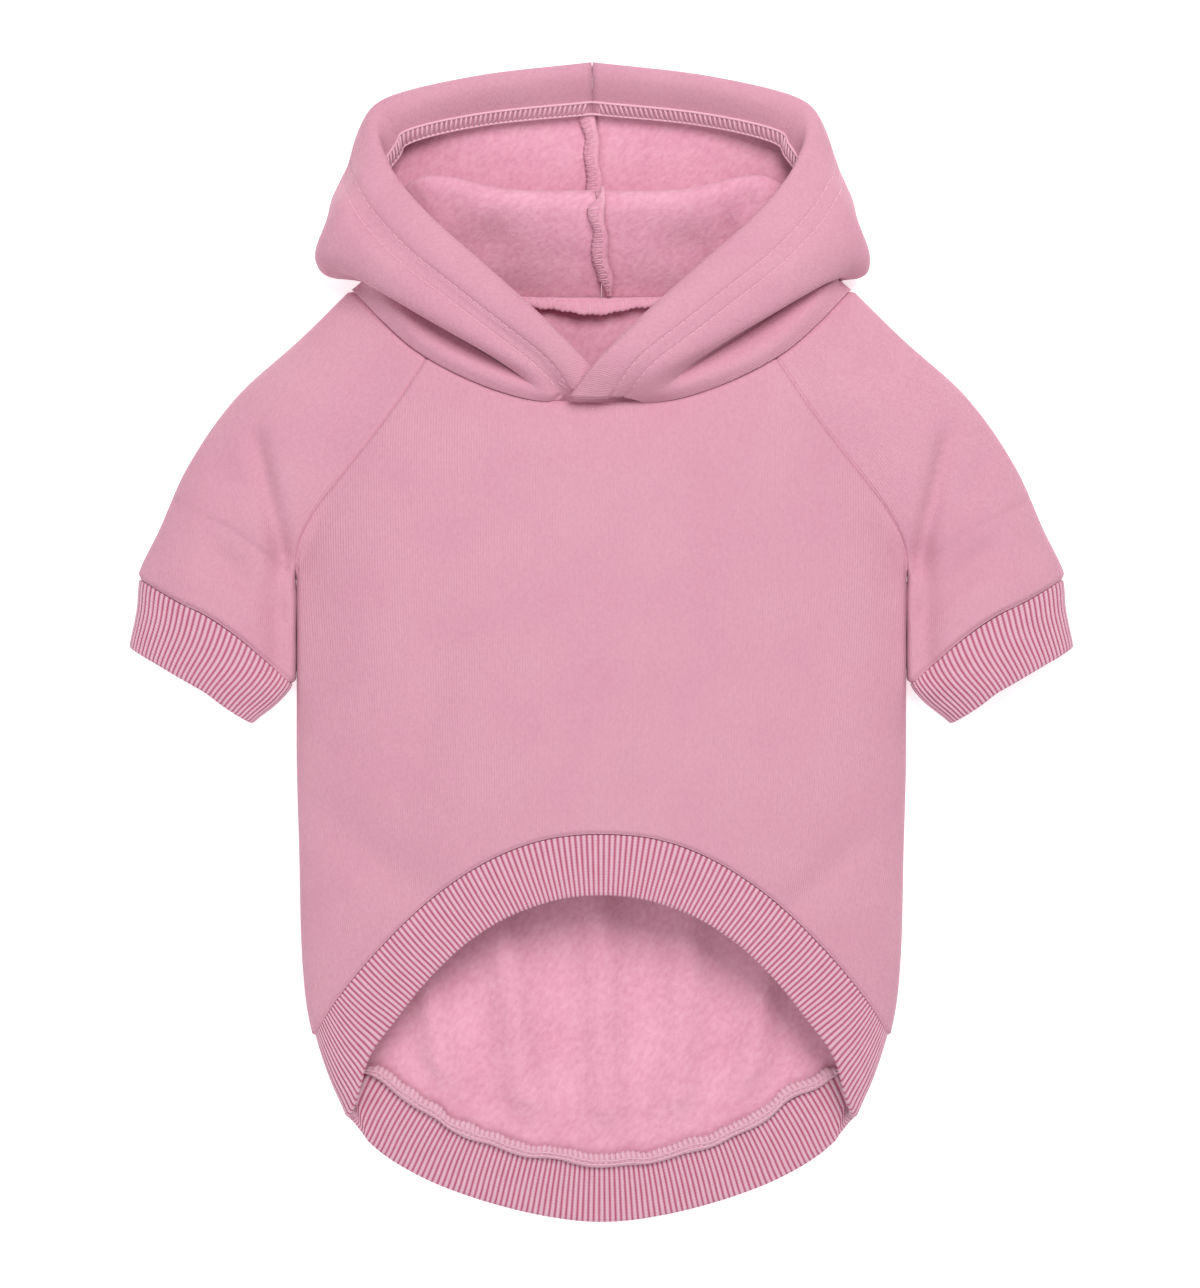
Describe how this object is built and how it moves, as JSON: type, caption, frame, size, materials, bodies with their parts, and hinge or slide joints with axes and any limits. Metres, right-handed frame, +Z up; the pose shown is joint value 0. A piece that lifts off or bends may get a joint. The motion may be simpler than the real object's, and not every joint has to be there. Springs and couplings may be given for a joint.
{
  "type": "dog hoodie",
  "caption": "Small dog hoodie with raglan sleeves, ribbed cuffs and hem and an open hood, lying flat on its back with the belly side up.",
  "frame": {"origin": "middle of the outline seen from above, on the floor that the back panel lies on", "axes": "+Z up out of the belly side, +Y from hem to hood, +X to the right sleeve in the picture"},
  "size_m": [0.3208, 0.3989, 0.0494],
  "materials": {
    "pink_fleece": "matt brushed fleece jersey",
    "pink_hood_fleece": "matt brushed fleece jersey",
    "pink_rib_knit": "matt rib knit"
  },
  "bodies": {
    "root": {"front_panel": "pink_fleece", "back_panel": "pink_fleece", "left_sleeve": "pink_fleece", "right_sleeve": "pink_fleece", "left_cuff": "pink_rib_knit", "right_cuff": "pink_rib_knit", "hem_band": "pink_rib_knit", "hood_left": "pink_hood_fleece", "hood_right": "pink_hood_fleece"}
  },
  "joints": []
}
